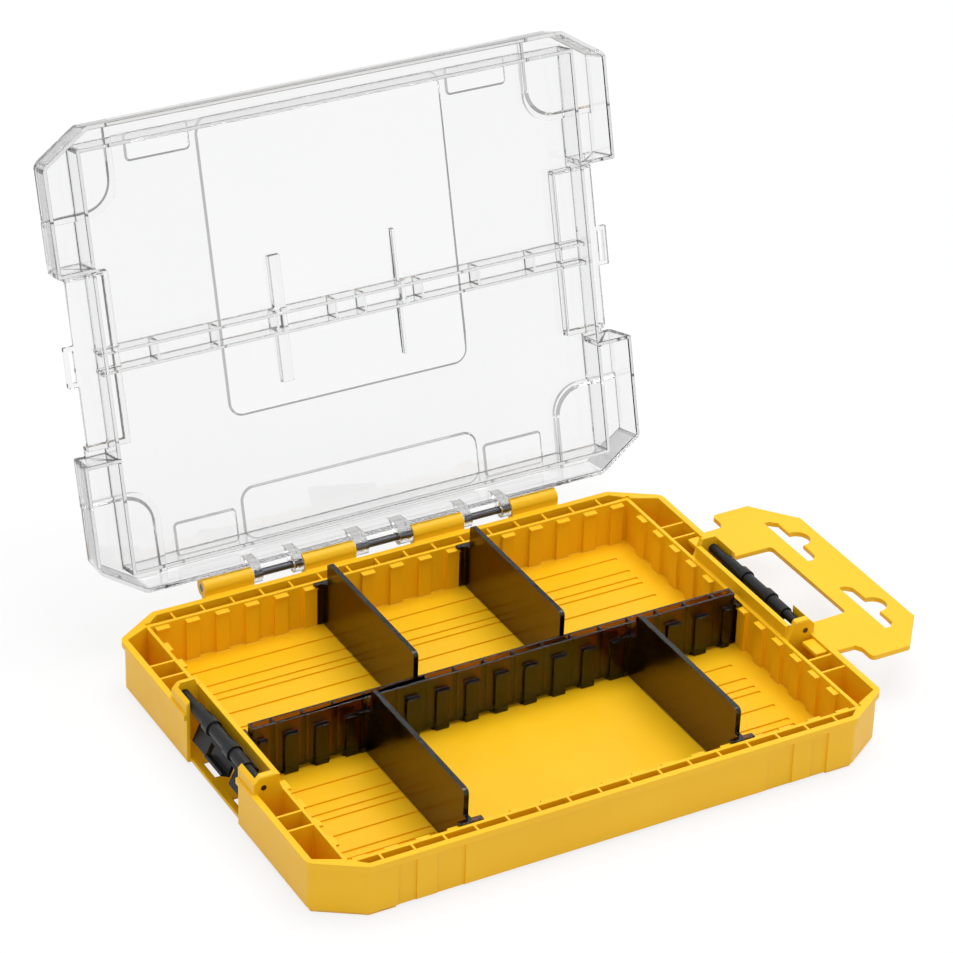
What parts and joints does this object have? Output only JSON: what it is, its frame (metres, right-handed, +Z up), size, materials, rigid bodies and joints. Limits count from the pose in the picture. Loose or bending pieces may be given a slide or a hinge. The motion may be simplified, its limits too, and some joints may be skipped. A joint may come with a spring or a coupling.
{
  "type": "tool case",
  "caption": "Flat parts case with a yellow tray, clear hinged lid, side latches, lift-out dividers and a plug-in hang tab.",
  "frame": {"origin": "centre of the tray's underside, on the plane that its feet stand on", "axes": "+X along the hinge towards the hang tab, +Y to the hinge at the back, +Z up"},
  "size_m": [0.277, 0.2429, 0.2024],
  "materials": {
    "yellow": "satin moulded",
    "clear": "clear polished",
    "black": "fine matt",
    "smoke": "smoked translucent",
    "steel": "drawn wire"
  },
  "bodies": {
    "tray": {"base_tray": "yellow", "hinge_pin": "steel", "left_latch_pin": "steel", "right_latch_pin": "steel", "hang_tab": "yellow"},
    "lid": {"lid": "clear"},
    "left_latch": {"left_latch": "black"},
    "right_latch": {"right_latch": "black"},
    "long_divider": {"long_divider": "smoke"},
    "rear_left_divider": {"rear_left_divider": "smoke"},
    "rear_right_divider": {"rear_right_divider": "smoke"},
    "front_left_divider": {"front_left_divider": "smoke"},
    "front_right_divider": {"front_right_divider": "smoke"}
  },
  "joints": [
    {"name": "lid_hinge", "type": "hinge", "parent": "tray", "child": "lid", "pos_m": [0, 0.094, 0.024], "axis": [-1, 0, 0], "range_deg": [-104.8, 0]},
    {"name": "right_latch_hinge", "type": "hinge", "parent": "tray", "child": "right_latch", "pos_m": [0.113, 0, 0.024], "axis": [0, 1, 0], "range_deg": [-155, 0]},
    {"name": "left_latch_hinge", "type": "hinge", "parent": "tray", "child": "left_latch", "pos_m": [-0.113, 0, 0.024], "axis": [0, -1, 0], "range_deg": [-155, 0]},
    {"name": "long_divider_lift", "type": "slide", "parent": "tray", "child": "long_divider", "axis": [0, 0, 1], "range_m": [0, 0.025]},
    {"name": "rear_left_divider_lift", "type": "slide", "parent": "long_divider", "child": "rear_left_divider", "axis": [0, 0, 1], "range_m": [0, 0.025]},
    {"name": "rear_right_divider_lift", "type": "slide", "parent": "long_divider", "child": "rear_right_divider", "axis": [0, 0, 1], "range_m": [0, 0.025]},
    {"name": "front_left_divider_lift", "type": "slide", "parent": "long_divider", "child": "front_left_divider", "axis": [0, 0, 1], "range_m": [0, 0.025]},
    {"name": "front_right_divider_lift", "type": "slide", "parent": "long_divider", "child": "front_right_divider", "axis": [0, 0, 1], "range_m": [0, 0.025]}
  ]
}
